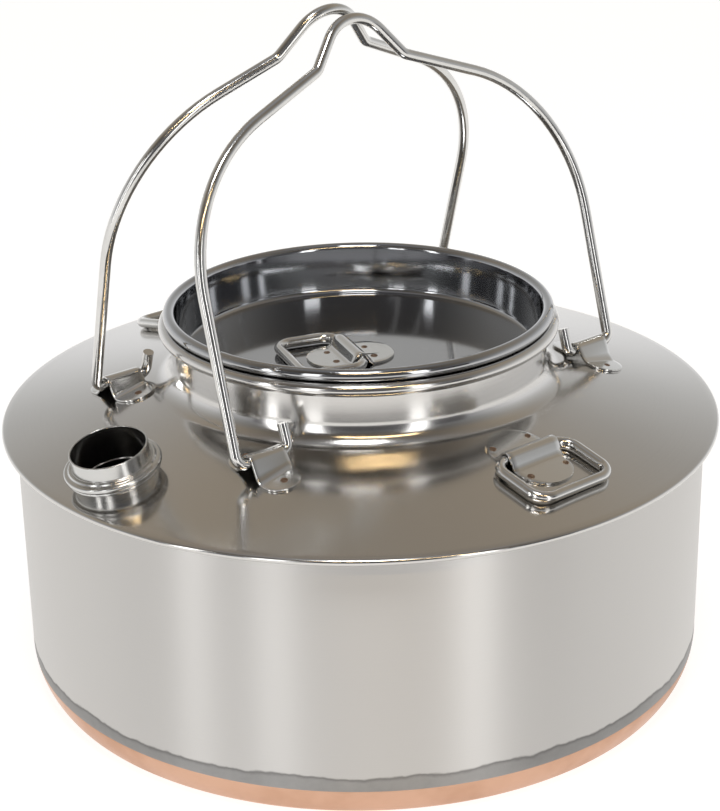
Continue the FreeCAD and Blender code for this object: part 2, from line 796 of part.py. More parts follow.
lid_x, lid_y, lid_turn = size["lid_grip_x"], size["lid_grip_y"], size["lid_grip_turn"]
lid_grip_height = lid_floor + ring_lift
make_clip("lid_clip", on_lid, "grip", size["ring_wire"], lid_x, lid_y, lid_grip_height, lid_turn)
make_ring("lid_ring", lid_x, lid_y, lid_grip_height, lid_turn + 180, 0)
lid_welds = []
for across in (-1, 1):
    for along in (-1, 1):
        right = across * size["lid_weld_across"]
        out = along * size["lid_weld_along"]
        weld_x = lid_x + right * cosine(lid_turn) - out * sine(lid_turn)
        weld_y = lid_y + right * sine(lid_turn) + out * cosine(lid_turn)
        lid_welds.append(weld_on_lid(f"lid_weld_{len(lid_welds)}", weld_x, weld_y))
keep_group("lid_clip_spot_welds", lid_welds)


# ------------------------------------------------------------------ check and write
doc.recompute()
failed = [thing.Name for thing in doc.Objects if {"Invalid", "Error"} & set(thing.State)]
if failed:
    raise RuntimeError(f"objects in error: {failed}")
for node, thing in nodes.items():
    shape = thing.Shape
    if shape.isNull() or not shape.isValid() or not shape.Solids:
        raise RuntimeError(f"{node} has no valid solid")
os.makedirs("parts", exist_ok=True)
for node, thing in nodes.items():
    thing.Shape.exportStep(f"parts/{node}.step")
    box = thing.Shape.BoundBox
    print(f"{node:24s} solids {len(thing.Shape.Solids)} volume {thing.Shape.Volume:9.1f}"
          f" z {box.ZMin:.2f} to {box.ZMax:.2f}")
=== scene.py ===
# %% [markdown]
# # A polished camp kettle, made in cells
# The kettle is sheet metal and bent wire, so almost every piece is one of three things: a
# section turned round the axis, a round wire bent along a path, or a strap folded over a
# wire. The cells make one helper for each and then use it. The CAD frame is loaded first,
# because it says where everything is. It is never moved: finer pieces stand for its nodes.

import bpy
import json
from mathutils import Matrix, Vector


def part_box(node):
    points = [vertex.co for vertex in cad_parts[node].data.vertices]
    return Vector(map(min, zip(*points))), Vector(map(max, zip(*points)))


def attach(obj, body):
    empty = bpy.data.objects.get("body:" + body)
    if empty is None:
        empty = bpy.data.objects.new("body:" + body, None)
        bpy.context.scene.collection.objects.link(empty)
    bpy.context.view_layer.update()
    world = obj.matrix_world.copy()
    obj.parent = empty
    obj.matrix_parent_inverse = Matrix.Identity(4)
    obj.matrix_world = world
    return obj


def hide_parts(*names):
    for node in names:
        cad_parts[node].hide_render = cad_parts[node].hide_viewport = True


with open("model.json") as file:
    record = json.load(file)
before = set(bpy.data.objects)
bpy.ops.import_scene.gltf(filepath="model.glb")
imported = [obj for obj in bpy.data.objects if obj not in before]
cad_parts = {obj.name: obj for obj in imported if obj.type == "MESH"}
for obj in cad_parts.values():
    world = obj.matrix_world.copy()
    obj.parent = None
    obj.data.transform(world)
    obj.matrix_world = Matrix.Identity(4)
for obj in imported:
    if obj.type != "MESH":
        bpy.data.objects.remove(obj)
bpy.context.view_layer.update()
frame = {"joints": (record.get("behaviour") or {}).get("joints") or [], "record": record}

# %% [markdown]
# ## Units and places
# Sheet-metal sizes read best in millimetres, and Blender's unit here is the metre, so
# sizes are written in millimetres and multiplied by MM on their way into a mesh. The
# hinge lines and the spout's axis are read from the frame, so that they can't disagree.

# %% Names for what is used all the way through
import json
from math import asin, atan2, cos, degrees, exp, hypot, pi, radians, sin, sqrt, tan

import bmesh
import bpy
from mathutils import Matrix, Vector

MM = 0.001
joints = {joint["name"]: joint for joint in frame["joints"]}
mounts = {mount["name"]: mount for mount in frame["record"]["mounts"]}

# %% [markdown]
# ## The camera
# A camera that looks at one point is easiest to think of as a distance, a compass
# direction and a height angle. Here it looks at the middle of the rim. A hand-held camera
# is rarely level, so it also has a small roll. Blender keeps all of that in one matrix:
# its columns are the camera's right, its up, the direction behind it, and its place.

# %% Camera
RIM_HEIGHT = 105 * MM
VIEW_DISTANCE = 802.2 * MM
VIEW_AZIMUTH = radians(-130)
VIEW_ELEVATION = radians(22.26)
VIEW_ROLL = radians(1.006)
VIEW_DROP = radians(0.11)
VIEW_LENS = 90.09


def look_from(distance, azimuth, elevation, aim):
    """Place and turn of a camera that looks at a point from a direction."""
    behind = Vector((cos(elevation) * cos(azimuth), cos(elevation) * sin(azimuth), sin(elevation)))
    right = Vector((0, 0, 1)).cross(behind).normalized()
    up = behind.cross(right)
    turn = Matrix((right, up, behind)).transposed()
    return Matrix.Translation(aim + behind * distance) @ turn.to_4x4()


camera = bpy.data.objects.new("camera", bpy.data.cameras.new("camera"))
bpy.context.collection.objects.link(camera)
camera.data.lens = VIEW_LENS
aim_matrix = look_from(VIEW_DISTANCE, VIEW_AZIMUTH, VIEW_ELEVATION, Vector((0, 0, RIM_HEIGHT)))
roll = Matrix.Rotation(-VIEW_ROLL, 4, "Z")
drop = Matrix.Rotation(-VIEW_DROP, 4, "X")
camera.matrix_world = aim_matrix @ roll @ drop
bpy.context.scene.camera = camera
print("camera at", tuple(round(value, 3) for value in camera.matrix_world.translation))

# %% [markdown]
# ## Shader sums as Python
# Wiring Math nodes by hand hides the sum that they make. This small class holds one
# socket, and its operators add the Math nodes, so that `1 - mask * 0.3` is written as it
# reads. Its `node` method adds any other node: settings first, then values or links.


# %% A socket that takes part in sums
class Value:
    """A shader socket that Python can add, subtract, multiply and divide."""

    def __init__(self, tree, socket=None):
        self.tree = tree
        self.socket = socket

    def node(self, kind, settings=None, sockets=None, out=0):
        made = self.tree.nodes.new(kind)
        for name, setting in (settings or {}).items():
            if name == "stops":
                fill_ramp(made.color_ramp, setting)
            else:
                setattr(made, name, setting)
        for name, value in (sockets or {}).items():
            if isinstance(value, Value):
                self.tree.links.new(value.socket, made.inputs[name])
            else:
                made.inputs[name].default_value = value
        return Value(self.tree, made.outputs[out])

    def sum(self, operation, *terms):
        return self.node("ShaderNodeMath", {"operation": operation}, dict(enumerate(terms)))

    def __add__(self, other):
        return self.sum("ADD", self, other)

    def __radd__(self, other):
        return self.sum("ADD", other, self)

    def __sub__(self, other):
        return self.sum("SUBTRACT", self, other)

    def __rsub__(self, other):
        return self.sum("SUBTRACT", other, self)

    def __mul__(self, other):
        return self.sum("MULTIPLY", self, other)

    def __rmul__(self, other):
        return self.sum("MULTIPLY", other, self)

    def __truediv__(self, other):
        return self.sum("DIVIDE", self, other)

    def clamp(self):
        return self.node("ShaderNodeClamp", None, {0: self})

    def step(self, low, high):
        """0 below low, 1 above high, smooth between."""
        settings = {"interpolation_type": "SMOOTHSTEP"}
        return self.node("ShaderNodeMapRange", settings, {"Value": self, "From Min": low, "From Max": high})

    def mix(self, low, high):
        """Colour that goes from low to high as this value goes from 0 to 1."""
        settings = {"data_type": "RGBA"}
        return self.node("ShaderNodeMix", settings, {0: self, 6: low, 7: high}, out=2)


def fill_ramp(ramp, stops):
    while len(ramp.elements) > 1:
        ramp.elements.remove(ramp.elements[-1])
    for index, (place, colour) in enumerate(stops):
        element = ramp.elements[0] if index == 0 else ramp.elements.new(place)
        element.position = place
        element.color = colour


def paint(red, green, blue):
    return (red, green, blue, 1.0)


# %% [markdown]
# ## What every metal needs
# Polished steel is mostly what it reflects, so its own pattern has to be faint: a soft
# change of roughness where hands and cloths have been, fine lines from the polishing
# wheel, and a few scratches. The lines run round the axis, because the piece turns under
# the wheel. Lines that run round spread a reflection up and down, which is what makes the
# tall soft streaks on a kettle's wall.


# %% Metal helpers
MARK_DEPTH = 0.05 * MM
ACROSS_MARKS = 0.25


def start_material(name):
    """A new material: its Principled node and a Value to add nodes from."""
    material = bpy.data.materials.new(name)
    material.use_nodes = True
    tree = material.node_tree
    surface = tree.nodes["Principled BSDF"]
    surface.inputs["Metallic"].default_value = 1.0
    return material, surface, Value(tree)


def object_point(start):
    """The Object coordinates, which are metres in the frame."""
    return start.node("ShaderNodeTexCoord", out=3)


def split(point):
    """The x, y and z of a point, as three values."""
    parts = point.node("ShaderNodeSeparateXYZ", None, {0: point})
    return [Value(point.tree, output) for output in parts.socket.node.outputs]


def noise(point, scale, detail=2.0, rough=0.5, stretch=(1, 1, 1)):
    """Noise from 0 to 1, about 0.5, on a stretched copy of the coordinates."""
    mapped = point.node("ShaderNodeMapping", None, {"Vector": point, "Scale": stretch})
    sockets = {"Vector": mapped, "Scale": scale, "Detail": detail, "Roughness": rough}
    return point.node("ShaderNodeTexNoise", {"noise_dimensions": "3D"}, sockets)


def from_axis(x, y):
    """Distance from the axis through x = 0, y = 0, as a value."""
    square = x * x + y * y
    return square.sum("SQRT", square)


def wheel_lines(point, across, scale):
    """Fine polishing lines: noise that changes along one value only."""
    line = point.node("ShaderNodeCombineXYZ", None, {"X": across * scale})
    return point.node("ShaderNodeTexNoise", None, {"Vector": line, "Scale": 1.0, "Detail": 4.0})


def scratches(point, scale, width):
    """Thin curved hairlines where a warped wave crosses its middle."""
    sockets = {"Vector": point, "Scale": scale, "Distortion": 9.0, "Detail": 3.0, "Detail Scale": 1.2}
    wave = point.node("ShaderNodeTexWave", {"wave_profile": "SIN"}, sockets, out=1)
    above = wave - 0.5
    line = above.sum("ABSOLUTE", above)
    patch = noise(point, scale * 6).step(0.55, 0.62)
    return (1 - line.step(0.0, width)) * patch


def feed(surface, name, value):
    """Link a value to a socket of the Principled node."""
    value.tree.links.new(value.socket, surface.inputs[name])


def set_bump(surface, height, strength, distance=MARK_DEPTH):
    """Feed a height into the Normal socket."""
    sockets = {"Height": height, "Strength": strength, "Distance": distance}
    feed(surface, "Normal", height.node("ShaderNodeBump", None, sockets))


def set_anisotropy(surface, amount):
    """Marks that run round the axis, so that reflections spread along it."""
    surface.inputs["Anisotropic"].default_value = amount
    surface.inputs["Anisotropic Rotation"].default_value = ACROSS_MARKS

# %% [markdown]
# ## The wall: satin steel over a dull band
# A kettle's wall is finished with a belt while the pan turns, so its marks run round it.
# Such marks blur a reflection along the axis only. The shader's own anisotropy does that,
# and it is better than thousands of modelled grooves, which would flicker. Low down, where
# the copper was fused on, the steel kept a dull grey band with an uneven edge: that is a
# mask made from the height plus noise, and it drives colour, roughness and bump together.

# %% Wall steel
BAND_TOP = 17.6 * MM
BAND_WANDER = 5.5 * MM
BAND_FRAY = 1.4 * MM


def wall_material():
    material, surface, start = start_material("wall_steel")
    set_anisotropy(surface, 0.9)
    point = object_point(start)
    z = split(point)[2]
    lines = wheel_lines(point, z, 2600.0)
    broad = noise(point, 14.0, 3.0, stretch=(1, 1, 0.5))
    wander = noise(point, 38.0, 3.0) - 0.5
    fray = noise(point, 260.0) - 0.5
    edge = z + wander * BAND_WANDER + fray * BAND_FRAY
    band = 1 - edge.step(BAND_TOP - 0.9 * MM, BAND_TOP + 0.3 * MM)
    rim = edge.step(BAND_TOP - 2.2 * MM, BAND_TOP) * band
    stain = noise(point, 90.0, 5.0, 0.65)
    steel = (lines * 0.6 + broad * 0.4).mix(paint(0.60, 0.588, 0.572), paint(0.68, 0.668, 0.652))
    dull = stain.mix(paint(0.34, 0.335, 0.33), paint(0.54, 0.535, 0.53))
    darker = rim.mix(dull, paint(0.25, 0.245, 0.24))
    feed(surface, "Base Color", band.mix(steel, darker))
    hair = scratches(point, 9.0, 0.012)
    feed(surface, "Roughness", 0.36 + broad * 0.08 + lines * 0.05 + band * (0.10 + stain * 0.10))
    set_bump(surface, lines + hair * 0.8 + band * stain * 1.5, 0.16)
    return material


wall_steel = wall_material()
print("wall material with", len(wall_steel.node_tree.nodes), "nodes")

# %% [markdown]
# ## The copper base
# Copper that has been wiped but not polished is pinkish and satin. It gets three colours:
# the metal, a slightly browner cloud where the air has reached it, and a lighter, rubbed
# line at the lowest edge, where it slides on the hob.


# %% Copper
def copper_material():
    material, surface, start = start_material("copper")
    set_anisotropy(surface, 0.6)
    point = object_point(start)
    z = split(point)[2]
    cloud = noise(point, 22.0, 4.0, 0.6).step(0.35, 0.7)
    grain = noise(point, 420.0, 3.0, 0.6, stretch=(1, 1, 2.5))
    wander = noise(point, 60.0) - 0.5
    rubbed = 1 - (z + wander * (1.2 * MM)).step(0.4 * MM, 2.2 * MM)
    metal = cloud.mix(paint(0.66, 0.41, 0.29), paint(0.56, 0.33, 0.22))
    feed(surface, "Base Color", (rubbed * 0.6).mix(metal, paint(0.90, 0.62, 0.48)))
    hair = scratches(point, 12.0, 0.015)
    feed(surface, "Roughness", 0.30 + cloud * 0.10 + grain * 0.08 - rubbed * 0.08)
    set_bump(surface, grain + hair, 0.18)
    return material


copper = copper_material()
print("copper material with", len(copper.node_tree.nodes), "nodes")

# %% [markdown]
# ## The polished parts
# Shoulder, lid and spout are polished much brighter than the wall. They share one recipe:
# a grey metal, a low roughness with faint clouds in it, wheel lines that run round the
# axis, a few hairlines, and a very low, wide bump, because pressed sheet is never quite
# flat. Only the amounts change: the lid is the sharpest mirror and the spout the dullest.
# The lid's metal colour is also much darker and slightly bluer than the shoulder's. That is
# painted shade, standing for the dark surroundings that the lid's mirror shows.


# %% Mirror steel
def mirror_material(name, low, high, gloss, clouds, wave, about=(0, 0)):
    """Polished steel. The wheel lines run round the axis through `about`."""
    material, surface, start = start_material(name)
    point = object_point(start)
    x, y, z = split(point)
    out = from_axis(x - about[0], y - about[1])
    lines = wheel_lines(point, out + z * 0.5, 1500.0)
    broad = noise(point, 17.0, 3.0)
    hair = scratches(point, 16.0, 0.010)
    feed(surface, "Base Color", (broad * 0.5 + lines * 0.5).mix(low, high))
    feed(surface, "Roughness", gloss + broad * clouds + lines * (clouds / 2) + hair * 0.1)
    soft = noise(point, 9.0, 1.0) * 12.0 * wave
    set_bump(surface, lines * 0.25 + hair * 0.6 + soft, 0.10)
    return material


shoulder_steel = mirror_material(
    "shoulder_steel", paint(0.56, 0.55, 0.535), paint(0.65, 0.64, 0.625), gloss=0.10, clouds=0.07, wave=1.2)
# Painted shade: the lid's darker, slightly blue metal colour stands for the dark surroundings that it
# reflects.
lid_steel = mirror_material(
    "lid_steel", paint(0.36, 0.365, 0.375), paint(0.46, 0.465, 0.475), gloss=0.045, clouds=0.05, wave=2.5)
polished_steel = mirror_material(
    "polished_steel", paint(0.52, 0.52, 0.51), paint(0.64, 0.64, 0.63), gloss=0.15, clouds=0.08, wave=0.6,
    about=mounts["spout_bore"]["pos_m"])
print("mirror materials:", shoulder_steel.name, lid_steel.name, polished_steel.name)

# %% [markdown]
# ## The wire
# Drawn wire has fine marks along its length, and handling leaves small dents of light on
# it. Its marks are too thin to draw, so the wire gets a low roughness that changes every
# few millimetres, and a slight bump that makes its long highlights waver.


# %% Wire steel
def wire_material():
    material, surface, start = start_material("wire_steel")
    point = object_point(start)
    patch = noise(point, 110.0, 3.0)
    fleck = noise(point, 620.0, 2.0).step(0.60, 0.74)
    feed(surface, "Base Color", patch.mix(paint(0.58, 0.575, 0.56), paint(0.74, 0.735, 0.72)))
    feed(surface, "Roughness", 0.09 + patch * 0.12 + fleck * 0.10)
    set_bump(surface, patch * 2.0 + fleck, 0.14)
    return material


wire_steel = wire_material()
print("wire material with", len(wire_steel.node_tree.nodes), "nodes")

# %% [markdown]
# ## Heat tint on the straps
# A spot weld leaves a brown mark with a straw and blue ring, because the heat grows an
# oxide film whose thickness sets its colour. The straps read a mesh attribute, `heat`,
# which is 1 at a weld and falls to 0 some millimetres away, and a colour ramp turns it
# into the film's colours. The attribute is stored when the strap is made, because only
# then is the distance to each weld known.


# %% Strap steel and weld marks
TINT = [
    (0.0, paint(0.70, 0.70, 0.69)),
    (0.30, paint(0.70, 0.66, 0.56)),
    (0.52, paint(0.66, 0.52, 0.34)),
    (0.70, paint(0.50, 0.36, 0.34)),
    (0.84, paint(0.34, 0.33, 0.44)),
    (1.0, paint(0.30, 0.22, 0.16)),
]


def strap_material():
    material, surface, start = start_material("strap_steel")
    point = object_point(start)
    heat = start.node("ShaderNodeAttribute", {"attribute_name": "heat"}, out=2)
    ragged = (noise(point, 300.0, 3.0) - 0.5) * 0.22
    film = (heat + ragged * heat.step(0.02, 0.2)).clamp()
    feed(surface, "Base Color", start.node("ShaderNodeValToRGB", {"stops": TINT}, {0: film}))
    broad = noise(point, 60.0, 3.0)
    hair = scratches(point, 45.0, 0.02)
    grain = noise(point, 900.0, 2.0, stretch=(1, 0.06, 0.06))
    feed(surface, "Roughness", 0.09 + broad * 0.08 + film * 0.22 + grain * 0.05)
    set_bump(surface, broad * 3.0 + grain * 0.4 + hair * 0.5, 0.16)
    return material


def weld_material():
    material, surface, start = start_material("weld_button")
    crust = noise(object_point(start), 700.0, 4.0, 0.6)
    bright = crust.step(0.52, 0.66)
    feed(surface, "Base Color", bright.mix(paint(0.20, 0.13, 0.09), paint(0.50, 0.38, 0.27)))
    feed(surface, "Metallic", 0.75 + bright * 0.25)
    feed(surface, "Roughness", 0.48 - bright * 0.2)
    set_bump(surface, crust, 0.5, 0.1 * MM)
    return material


strap_steel = strap_material()
weld_button = weld_material()
print("strap ramp has", len(TINT), "stops")

# %% [markdown]
# ## Profiles with rounded corners
# Sheet metal has no sharp bends. A profile here is a few corner points, each with its
# bend radius, and one helper turns the corners into tangent arcs. A second helper gives
# the sheet its thickness. It is the same way that a press tool is drawn.

# %% Profile helpers
ARC_STEPS = 10


def rounded(corners, steps=ARC_STEPS):
    """Points of an open profile given as (across, up, bend radius) corners."""
    points = []
    for index, (across, up, bend) in enumerate(corners):
        here = Vector((across, up))
        if bend == 0:
            points.append(here)
            continue
        back = (Vector(corners[index - 1][:2]) - here).normalized()
        on = (Vector(corners[index + 1][:2]) - here).normalized()
        half = back.angle(on) / 2
        middle = here + (back + on).normalized() * (bend / sin(half))
        first = (here + back * (bend / tan(half)) - middle).normalized()
        last = (here + on * (bend / tan(half)) - middle).normalized()
        points += [middle + first.slerp(last, step / steps) * bend for step in range(steps + 1)]
    return points


def arc(middle, radius, first, last, steps=ARC_STEPS):
    """Points on a circle from one angle to another, in degrees."""
    angles = [radians(first + (last - first) * step / steps) for step in range(steps + 1)]
    return [Vector(middle) + Vector((cos(a), sin(a))) * radius for a in angles]


def offset(line, distance):
    """The line moved sideways, to its left when distance is positive."""
    moved = []
    for index, here in enumerate(line):
        back = line[max(index - 1, 0)]
        on = line[min(index + 1, len(line) - 1)]
        along = (on - back).normalized()
        moved.append(here + Vector((-along.y, along.x)) * distance)
    return moved


def subdivided(first, last, count):
    """Points between two ends, without the ends."""
    return [first.lerp(last, step / count) for step in range(1, count)]


print("profile helpers ready, arcs in", ARC_STEPS, "steps")

# %% [markdown]
# ## Turning a section into a piece
# A turned piece is its half section, copied round the axis and joined with faces. Blender
# has a Screw modifier and Spin for that. Writing the rings out is as short, and it gives
# even quads, closed poles where the section touches the axis, and normals that can be
# checked. Points are in millimetres until here, and become metres in the mesh.

# %% Turned pieces
TURN_STEPS = 256


def finish_mesh(piece_mesh, sharp=35):
    """Merge doubles, point faces outwards, shade smooth up to an angle."""
    edit = bmesh.new()
    edit.from_mesh(piece_mesh)
    bmesh.ops.remove_doubles(edit, verts=edit.verts, dist=0.0005 * MM)
    loose = [edge for edge in edit.edges if not edge.link_faces]
    bmesh.ops.delete(edit, geom=loose, context="EDGES")
    bmesh.ops.recalc_face_normals(edit, faces=edit.faces)
    for face in edit.faces:
        face.smooth = True
    edit.to_mesh(piece_mesh)
    edit.free()
    piece_mesh.set_sharp_from_angle(angle=radians(sharp))


def add_piece(name, points, faces, material, sharp=35):
    """A new object from points in metres."""
    piece_mesh = bpy.data.meshes.new(name)
    piece_mesh.from_pydata([tuple(point) for point in points], [], faces)
    piece_mesh.materials.append(material)
    finish_mesh(piece_mesh, sharp)
    piece = bpy.data.objects.new(name, piece_mesh)
    bpy.context.collection.objects.link(piece)
    return piece


def turned(name, section, material, stand=None, steps=TURN_STEPS, sharp=35):
    """Revolve a closed half section, in millimetres; `stand` places its axis."""
    stand = stand or Matrix.Identity(4)
    count = len(section)
    points, faces = [], []
    for step in range(steps):
        angle = 2 * pi * step / steps
        for radius, up in section:
            points.append(stand @ (Vector((radius * cos(angle), radius * sin(angle), up)) * MM))
        for index in range(count):
            here, there = step * count, (step + 1) % steps * count
            after = (index + 1) % count
            faces.append((here + index, there + index, there + after, here + after))
    piece = add_piece(name, points, faces, material, sharp)
    print(name, "has", len(piece.data.polygons), "faces")
    return piece


def settle(piece, body, slot, *nodes):
    """Say which body a piece rides on and hide the CAD nodes it stands for. The slot is not used."""
    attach(piece, body)
    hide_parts(*nodes)
    return piece


# %% [markdown]
# ## The pan and its copper
# The pan's corner is two arcs, a tight one at the foot and an easy one up to the wall.
# Copper covers the flat base and most of the corner, and ends flush with the wall, so
# the steel is set back by the copper's thickness below that edge. Both pieces come from
# one outer line, cut at the copper's top edge.

# %% Pan and copper
WALL_RADIUS = 134.6
WALL_TOP = 104.6
CORNER_FOOT = 129.3
CORNER_TOP = 7.59
TIGHT_BEND = 3.65
EASY_BEND = 23.2
SHEET = 0.8
COPPER_TOP = 11.7
COPPER_SHEET = 0.5
COPPER_EASED = 0.12
FLOOR_RINGS = 8


def split_line(line, height):
    """The part of a rising line below a height, and the part above it."""
    below = [point for point in line if point.y < height]
    above = [point for point in line if point.y > height]
    share = (height - below[-1].y) / (above[0].y - below[-1].y)
    cut = below[-1].lerp(above[0], share)
    return below + [cut], [cut] + above


outer_line = rounded([
    (0, 0, 0),
    (CORNER_FOOT, 0, TIGHT_BEND),
    (WALL_RADIUS, CORNER_TOP, EASY_BEND),
    (WALL_RADIUS, WALL_TOP, 0),
], 16)
clad_outer, wall_outer = split_line(outer_line, COPPER_TOP)
clad_outer[1:1] = subdivided(clad_outer[0], clad_outer[1], FLOOR_RINGS)
clad_inner = offset(clad_outer, COPPER_SHEET)
clad_inner[0] = Vector((0, COPPER_SHEET))
clad_edge = clad_outer[-1] - Vector((COPPER_EASED, 0))
copper_piece = turned("copper_clad", clad_outer[:-1] + [clad_edge] + clad_inner[::-1], copper)
floor_inner = offset(clad_inner, SHEET)
floor_inner[0] = Vector((0, COPPER_SHEET + SHEET))
wall_inner = [Vector((WALL_RADIUS - SHEET, point.y)) for point in wall_outer[1:]]
pan_section = clad_inner + wall_outer + wall_inner[::-1] + floor_inner[::-1]
pan_piece = turned("pan_wall", pan_section, wall_steel)
settle(copper_piece, "root", "copper", "copper_base")
settle(pan_piece, "root", "wall_steel", "body_pan")

# %% [markdown]
# ## The shoulder
# One sheet makes the hem, the cone, the cove, the neck and the rolled bead. Its outline
# runs up the outer face and down the inner one. The cone is cut into many rings, so that
# the spout's hole, which is cut next, disturbs the shading of only a few small faces.

# %% Shoulder profile
RIM_RADIUS = 140.0
RIM_TOP = 105.0
SLOPE = radians(12.3)
HEM_FOLD = 1.2
NECK_RADIUS = 73.0
NECK_COVE = 9.0
NECK_TOP = 140.1
NECK_BEAD = 2.5
NECK_BEAD_RADIUS = 75.2
NECK_BEAD_END = 160
BEAD_STEPS = 28
CONE_RINGS = 24


def cone_height(radius):
    """Height of the shoulder's top face, in millimetres."""
    return RIM_TOP + (RIM_RADIUS - radius) * tan(SLOPE)


cone_up = Vector((sin(SLOPE), cos(SLOPE)))
fold_radius = RIM_RADIUS - HEM_FOLD + HEM_FOLD * sin(SLOPE)
fold_top = Vector((fold_radius, cone_height(fold_radius)))
fold_middle = fold_top - cone_up * HEM_FOLD
fold_turn = 90 - degrees(SLOPE)
hem_low = fold_middle - cone_up * HEM_FOLD
hem_end = Vector((WALL_RADIUS, hem_low.y + (fold_radius - WALL_RADIUS) * tan(SLOPE)))
neck_foot = (NECK_RADIUS, cone_height(NECK_RADIUS), NECK_COVE)
bead_middle = (NECK_BEAD_RADIUS, NECK_TOP)
bead_start = degrees(asin((NECK_BEAD_RADIUS - NECK_RADIUS) / NECK_BEAD))

hem_arc = arc(fold_middle, HEM_FOLD, fold_turn - 180, fold_turn)
cone_and_neck = rounded([
    (fold_top.x, fold_top.y, 0),
    neck_foot,
    (NECK_RADIUS, NECK_TOP - NECK_BEAD * cos(radians(bead_start)), 0),
], 16)
cone_rings = subdivided(cone_and_neck[0], cone_and_neck[1], CONE_RINGS)
outer_face = [hem_end] + hem_arc + cone_rings + cone_and_neck[1:-1]
bead_arc = arc(bead_middle, NECK_BEAD, -90 - bead_start, NECK_BEAD_END, BEAD_STEPS)
inner_neck = offset(cone_and_neck, SHEET)
inner_hem = arc(fold_middle, HEM_FOLD - SHEET, fold_turn - 180, fold_turn, 6)
inner_end = hem_end + Vector((0, SHEET / cos(SLOPE)))
inner_top = Vector((NECK_RADIUS - SHEET, NECK_TOP - 0.6))
inner_face = [inner_end] + inner_hem + inner_neck[1:-1] + [inner_top]
shoulder_piece = turned("shoulder_cone", outer_face + bead_arc + inner_face[::-1], shoulder_steel)

# %% [markdown]
# ## The hole for the spout
# A boolean cuts it with a hidden cylinder. The cut edge lies under the spout's base, so
# only the opening itself matters. The modifier's result is taken as a plain mesh, and the
# cutter is removed, so that nothing of the tool is left in the scene.

# %% Cut the hole
SPOUT_HOLE = 13.3
SPOUT_STATION = 118.6
CUTTER_REACH = 4
spout_place = Vector(mounts["spout_bore"]["pos_m"])
spout_up = Vector(mounts["spout_bore"]["axis"]).normalized()
spout_turn = atan2(spout_place.y, spout_place.x)
station = Vector((
    SPOUT_STATION * cos(spout_turn), SPOUT_STATION * sin(spout_turn), cone_height(SPOUT_STATION)))
spout_stand = Matrix.Translation(station * MM) @ spout_up.to_track_quat("Z", "Y").to_matrix().to_4x4()


def bake_modifiers(piece, sharp=35):
    """Turn a piece and its modifiers into one plain mesh."""
    graph = bpy.context.evaluated_depsgraph_get()
    result = bpy.data.meshes.new_from_object(piece.evaluated_get(graph))
    piece.modifiers.clear()
    piece.data = result
    finish_mesh(result, sharp)
    return piece


cutter_corners = [
    (0, -CUTTER_REACH), (SPOUT_HOLE, -CUTTER_REACH), (SPOUT_HOLE, CUTTER_REACH), (0, CUTTER_REACH)]
cutter_section = [Vector(corner) for corner in cutter_corners]
cutter = turned("cutter", cutter_section, shoulder_steel, spout_stand, 96)
cut = shoulder_piece.modifiers.new("hole", "BOOLEAN")
cut.object = cutter
cut.solver = "EXACT"
bake_modifiers(shoulder_piece)
bpy.data.objects.remove(cutter)
settle(shoulder_piece, "root", "shoulder_steel", "shoulder")
print("shoulder has", len(shoulder_piece.data.polygons), "faces after the cut")

# %% [markdown]
# ## The spout's collar
# A short tube takes a plug-in spout. Its foot is folded out to a rounded lip, which sits
# on a second, thinner lip rising from the shoulder. The small fold at the tube's foot and
# the thin dark seam between the lips catch the light, so they are really modelled. Both
# pieces are turned about a tilted axis: the same helper with a placing matrix.

# %% Spout collar and base ring
SPOUT_BORE = 13.7
SPOUT_TUBE = 14.4
SPOUT_TOP = 13.5
SPOUT_FOOT = -0.6
TUBE_EDGE = 0.3
LIP_RADIUS = 17.9
LIP_LOW = 5.0
LIP_HIGH = 7.1
ROLL_TOP = 7.9
BASE_TUBE = 15.3
BASE_LIP_RADIUS = 17.25
BASE_TOP = 4.95
SPOUT_STEPS = 128
collar_section = [Vector((SPOUT_BORE, SPOUT_FOOT))] + rounded([
    (SPOUT_TUBE, SPOUT_FOOT, 0),
    (SPOUT_TUBE, LIP_LOW, 0),
    (LIP_RADIUS - 0.9, LIP_LOW, 0.2),
    (LIP_RADIUS, LIP_LOW + 0.2, 0.6),
    (LIP_RADIUS, LIP_HIGH, 0.9),
    (SPOUT_TUBE + 1.8, LIP_HIGH, 0.5),
    (SPOUT_TUBE + 1.3, ROLL_TOP, 0.35),
    (SPOUT_TUBE + 0.6, ROLL_TOP, 0.35),
    (SPOUT_TUBE, LIP_HIGH + 0.2, TUBE_EDGE),
    (SPOUT_TUBE, SPOUT_TOP, TUBE_EDGE),
    (SPOUT_BORE, SPOUT_TOP, TUBE_EDGE),
    (SPOUT_BORE, SPOUT_TOP - 1.5, 0),
], 6)
collar_piece = turned("spout_tube", collar_section, polished_steel, spout_stand, SPOUT_STEPS)
base_section = rounded([
    (SPOUT_TUBE, -0.5, 0),
    (BASE_TUBE, -0.5, 0),
    (BASE_TUBE, 3.5, 0.8),
    (BASE_LIP_RADIUS, 3.65, 0.35),
    (BASE_LIP_RADIUS, BASE_TOP - 0.25, 0.35),
    (BASE_LIP_RADIUS - 0.65, BASE_TOP - 0.2, 0),
    (BASE_LIP_RADIUS - 0.75, BASE_TOP, 0),
    (SPOUT_TUBE, BASE_TOP, 0),
], 6)
base_piece = turned("spout_base", base_section, polished_steel, spout_stand, SPOUT_STEPS)
settle(collar_piece, "root", "polished_steel", "spout_collar")
settle(base_piece, "root", "polished_steel", "spout_base_ring")

# %% [markdown]
# ## The lid
# The lid is a shallow dish that hangs inside the neck on its own rolled bead. Its deep
# wall is what makes the bright curved reflections, so its corner and its slight draft are
# kept as in the frame.

